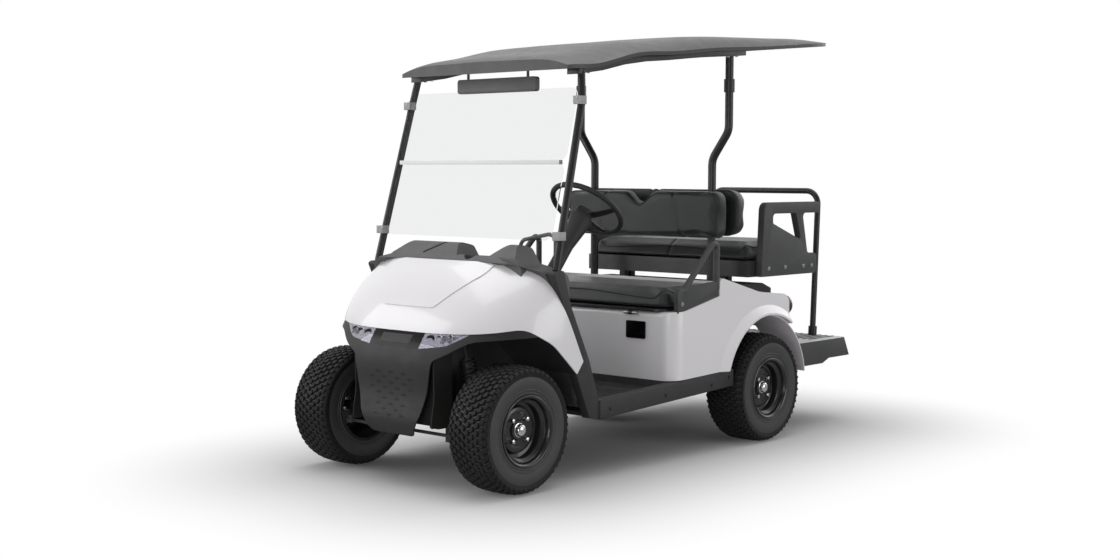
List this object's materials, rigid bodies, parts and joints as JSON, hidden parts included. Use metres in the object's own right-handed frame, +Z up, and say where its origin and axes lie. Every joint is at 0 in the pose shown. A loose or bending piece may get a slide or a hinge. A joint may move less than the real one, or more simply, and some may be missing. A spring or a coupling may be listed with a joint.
{
  "type": "golf cart",
  "caption": "Electric golf cart with a front bench, a rear-facing bench over a foot platform, a long roof on bent tubes and a clear folding windscreen.",
  "frame": {"origin": "on the floor, midway between the front tyres' foremost point and the foot platform's rear edge, on the cart's middle plane", "axes": "+X to the cart's left, +Y to the rear, +Z up; the cart faces -Y"},
  "size_m": [1.181, 2.7829, 1.9364],
  "materials": {
    "body_pearl": "pearl white gloss paint over moulded panels",
    "trim_grain": "charcoal moulded plastic with a fine grain",
    "floor_rubber": "ribbed black floor mat over the floor sheet",
    "frame_black": "black powder coat",
    "liner_black": "black moulded liner",
    "panel_gloss_black": "gloss black panel",
    "lamp_clear": "clear lamp cover",
    "lamp_chrome": "bright lamp bowl",
    "lamp_red": "red lamp cover",
    "screen_clear": "clear acrylic sheet",
    "fitting_grey": "grey plastic strip and clips",
    "wheel_grip": "soft black grip",
    "seat_vinyl": "dark green-black vinyl",
    "roof_dark": "dark grey-brown moulded roof",
    "bare_steel": "zinc plated steel",
    "axle_iron": "black coated castings",
    "tyre_rubber": "black rubber, sidewall a little greyer",
    "rim_black": "gloss black steel wheel"
  },
  "bodies": {
    "cart": {"chassis": "frame_black", "floor_pan": "floor_rubber", "rocker_panels": "trim_grain", "front_cowl": "body_pearl", "front_fascia": "trim_grain", "headlamp_lenses": "lamp_clear", "headlamp_bowls": "lamp_chrome", "lamp_centre_panel": "panel_gloss_black", "pillar_trims": "trim_grain", "dashboard": "trim_grain", "steering_column": "trim_grain", "pedals": "frame_black", "rear_body": "body_pearl", "front_liners": "liner_black", "rear_liners": "liner_black", "charge_port_cover": "trim_grain", "rear_deck": "trim_grain", "tail_lamps": "lamp_red", "seat_hinges": "bare_steel", "front_backrest": "seat_vinyl", "rear_backrest": "seat_vinyl", "hip_restraints": "trim_grain", "front_posts": "frame_black", "windscreen_panes": "screen_clear", "windscreen_fittings": "fitting_grey", "roof": "roof_dark", "roof_beams": "frame_black", "rear_struts": "frame_black", "mirror_bar": "trim_grain", "rear_seat_base": "frame_black", "rear_cushion": "seat_vinyl", "rear_armrests": "trim_grain", "grab_hoop": "frame_black", "foot_platform": "trim_grain", "front_suspension": "frame_black", "rear_axle": "axle_iron", "rear_springs": "axle_iron", "battery_block": "liner_black"},
    "front_left_knuckle": {"knuckle_left": "axle_iron"},
    "front_right_knuckle": {"knuckle_right": "axle_iron"},
    "track_rod": {"tie_rod": "bare_steel"},
    "front_left_wheel": {"front_left_tyre": "tyre_rubber", "front_left_rim": "rim_black"},
    "front_right_wheel": {"front_right_tyre": "tyre_rubber", "front_right_rim": "rim_black"},
    "rear_left_wheel": {"rear_left_tyre": "tyre_rubber", "rear_left_rim": "rim_black"},
    "rear_right_wheel": {"rear_right_tyre": "tyre_rubber", "rear_right_rim": "rim_black"},
    "steering_wheel": {"steering_wheel": "wheel_grip"},
    "front_seat": {"seat_cushion": "seat_vinyl", "seat_board": "liner_black"}
  },
  "joints": [
    {"name": "steer_left", "type": "hinge", "parent": "cart", "child": "front_left_knuckle", "pos_m": [0.35, -1.1365, 0.255], "axis": [0, 0, 1], "range_deg": [-28, 28]},
    {"name": "steer_right", "type": "hinge", "parent": "cart", "child": "front_right_knuckle", "pos_m": [-0.35, -1.1365, 0.255], "axis": [0, 0, 1], "range_deg": [-28, 28]},
    {"name": "track_rod_swing", "type": "hinge", "parent": "front_left_knuckle", "child": "track_rod", "pos_m": [0.35, -1.2485, 0.213], "axis": [0, 0, 1], "range_deg": [-28, 28]},
    {"name": "steering_wheel_turn", "type": "hinge", "parent": "cart", "child": "steering_wheel", "pos_m": [0.28, -0.4495, 1.11], "axis": [0, 0.6428, 0.766], "range_deg": [-336, 336]},
    {"name": "front_left_roll", "type": "hinge", "parent": "front_left_knuckle", "child": "front_left_wheel", "pos_m": [0.47, -1.1365, 0.255], "axis": [1, 0, 0], "continuous": true},
    {"name": "front_right_roll", "type": "hinge", "parent": "front_right_knuckle", "child": "front_right_wheel", "pos_m": [-0.47, -1.1365, 0.255], "axis": [1, 0, 0], "continuous": true},
    {"name": "rear_left_roll", "type": "hinge", "parent": "cart", "child": "rear_left_wheel", "pos_m": [0.4875, 0.5335, 0.255], "axis": [1, 0, 0], "continuous": true},
    {"name": "rear_right_roll", "type": "hinge", "parent": "cart", "child": "rear_right_wheel", "pos_m": [-0.4875, 0.5335, 0.255], "axis": [1, 0, 0], "continuous": true},
    {"name": "front_seat_tilt", "type": "hinge", "parent": "cart", "child": "front_seat", "pos_m": [0, -0.1965, 0.644], "axis": [1, 0, 0], "range_deg": [0, 60]}
  ],
  "couplings": [
    {"joint": "steer_right", "follows": "steer_left", "ratio": 1},
    {"joint": "track_rod_swing", "follows": "steer_left", "ratio": -1},
    {"joint": "steering_wheel_turn", "follows": "steer_left", "ratio": 12}
  ]
}
